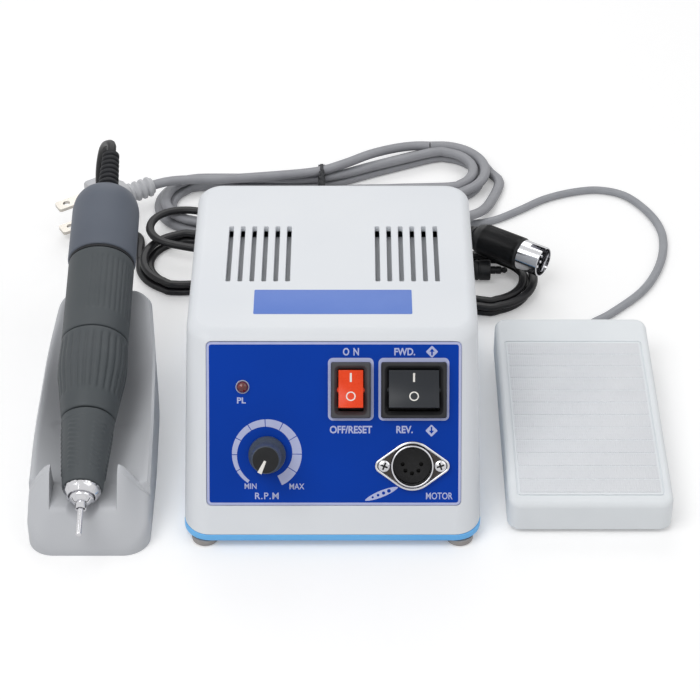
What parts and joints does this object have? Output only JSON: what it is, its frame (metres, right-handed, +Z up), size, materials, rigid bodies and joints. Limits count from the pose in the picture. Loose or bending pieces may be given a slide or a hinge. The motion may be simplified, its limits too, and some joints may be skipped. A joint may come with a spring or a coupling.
{
  "type": "dental lab micromotor",
  "caption": "Bench micromotor set: control unit with speed knob and rocker switches, handpiece in a grey cradle, foot pedal, and corded leads folded into hanks.",
  "frame": {"origin": "on the table, under the middle of the cradle, control unit, handpiece and pedal taken together without their free cords", "axes": "+X to the right seen from the front panel, +Y to the rear, +Z up"},
  "size_m": [0.2746, 0.2856, 0.0716],
  "materials": {
    "white_plastic": "fine satin moulding",
    "blue_plastic": "satin moulding",
    "blue_panel": "printed film",
    "black_plastic": "satin",
    "red_rocker": "gloss",
    "red_lens": "clear tinted",
    "black_rubber": "matt",
    "grey_rubber": "matt",
    "chrome": "plated",
    "steel": "turned",
    "copper": "enamelled wire",
    "core_iron": "stamped laminations",
    "board_green": "solder mask",
    "grip_grey": "satin anodised",
    "cradle_grey": "satin moulding",
    "pedal_grey": "satin moulding",
    "cord_black": "satin jacket",
    "cord_grey": "satin jacket"
  },
  "bodies": {
    "console": {"console_shell": "white_plastic", "console_base": "blue_plastic", "foot_1": "grey_rubber", "foot_2": "grey_rubber", "foot_3": "grey_rubber", "foot_4": "grey_rubber", "front_panel": "blue_panel", "power_switch_housing": "black_plastic", "direction_switch_housing": "black_plastic", "lamp_lens": "red_lens", "speed_pot": "black_plastic", "motor_socket": "chrome", "socket_insert": "black_plastic", "transformer_core": "core_iron", "transformer_coil": "copper", "circuit_board": "board_green", "mains_gland": "grey_rubber", "fuse_holder": "black_plastic", "pedal_jack": "black_plastic", "cradle": "cradle_grey", "pedal_base": "pedal_grey", "treadle_pin": "steel", "pedal_switch": "black_plastic", "pedal_spring": "steel", "mains_tail": "cord_grey", "mains_hank": "cord_grey", "mains_lead": "cord_grey", "motor_lead": "cord_black", "motor_hank": "cord_black", "motor_tail": "cord_black", "pedal_lead": "cord_grey", "pedal_hank": "cord_grey", "pedal_tail": "cord_grey", "din_plug": "black_plastic", "din_shell": "chrome", "mains_plug": "cord_grey", "mains_blade_1": "steel", "mains_blade_2": "steel", "pedal_plug": "black_plastic"},
    "power_rocker": {"power_rocker": "red_rocker"},
    "direction_rocker": {"direction_rocker": "black_plastic"},
    "speed_knob": {"speed_knob": "black_plastic", "pot_shaft": "steel"},
    "fuse_cap": {"fuse_cap": "black_plastic"},
    "handpiece": {"nose_ring": "chrome", "nose_sleeve": "grip_grey", "front_bearing": "steel", "motor_housing": "grip_grey", "stator": "core_iron", "rear_bearing": "steel", "rear_sleeve": "grip_grey", "cord_boot": "black_rubber"},
    "chuck_ring": {"chuck_ring": "grip_grey"},
    "spindle": {"spindle_shaft": "steel", "rotor": "core_iron", "collet": "steel"},
    "tool_pin": {"tool_pin": "chrome"},
    "treadle": {"pedal_treadle": "pedal_grey"},
    "switch_plunger": {"switch_plunger": "red_lens"}
  },
  "joints": [
    {"name": "power_press", "type": "hinge", "parent": "console", "child": "power_rocker", "pos_m": [-0.00015, -0.04893, 0.05221], "axis": [1, 0, 0], "range_deg": [0, 24]},
    {"name": "direction_press", "type": "hinge", "parent": "console", "child": "direction_rocker", "pos_m": [0.02345, -0.04893, 0.05221], "axis": [1, 0, 0], "range_deg": [0, 24]},
    {"name": "speed_turn", "type": "hinge", "parent": "console", "child": "speed_knob", "pos_m": [-0.0315, -0.06216, 0.03183], "axis": [0, 0.8387, -0.5446], "range_deg": [0, 290]},
    {"name": "fuse_turn", "type": "hinge", "parent": "console", "child": "fuse_cap", "pos_m": [0.0309, 0.06406, 0.047], "axis": [0, 1, 0], "range_deg": [0, 90]},
    {"name": "handpiece_lift", "type": "slide", "parent": "console", "child": "handpiece", "axis": [0, 0, 1], "range_m": [0, 0.04], "deforming": ["motor_lead"]},
    {"name": "chuck_turn", "type": "hinge", "parent": "handpiece", "child": "chuck_ring", "pos_m": [-0.10075, -0.07114, 0.022], "axis": [0, 0.9636, 0.2672], "range_deg": [0, 40]},
    {"name": "spindle_spin", "type": "hinge", "parent": "handpiece", "child": "spindle", "pos_m": [-0.10075, -0.07114, 0.022], "axis": [0, 0.9636, 0.2672], "continuous": true},
    {"name": "tool_release", "type": "slide", "parent": "spindle", "child": "tool_pin", "axis": [0, -0.9636, -0.2672], "range_m": [0, 0.03]},
    {"name": "treadle_press", "type": "hinge", "parent": "console", "child": "treadle", "pos_m": [0.0909, -0.06144, 0.007], "axis": [1, 0, 0], "range_deg": [-1.9, 0], "stiffness_Nm_per_rad": 4, "springref_deg": 2.86, "deforming": ["pedal_spring"]},
    {"name": "plunger_press", "type": "slide", "parent": "console", "child": "switch_plunger", "axis": [0, 0, 1], "range_m": [-0.0026, 0]}
  ],
  "couplings": [
    {"joint": "plunger_press", "follows": "treadle_press", "m_per_rad": 0.0755}
  ]
}
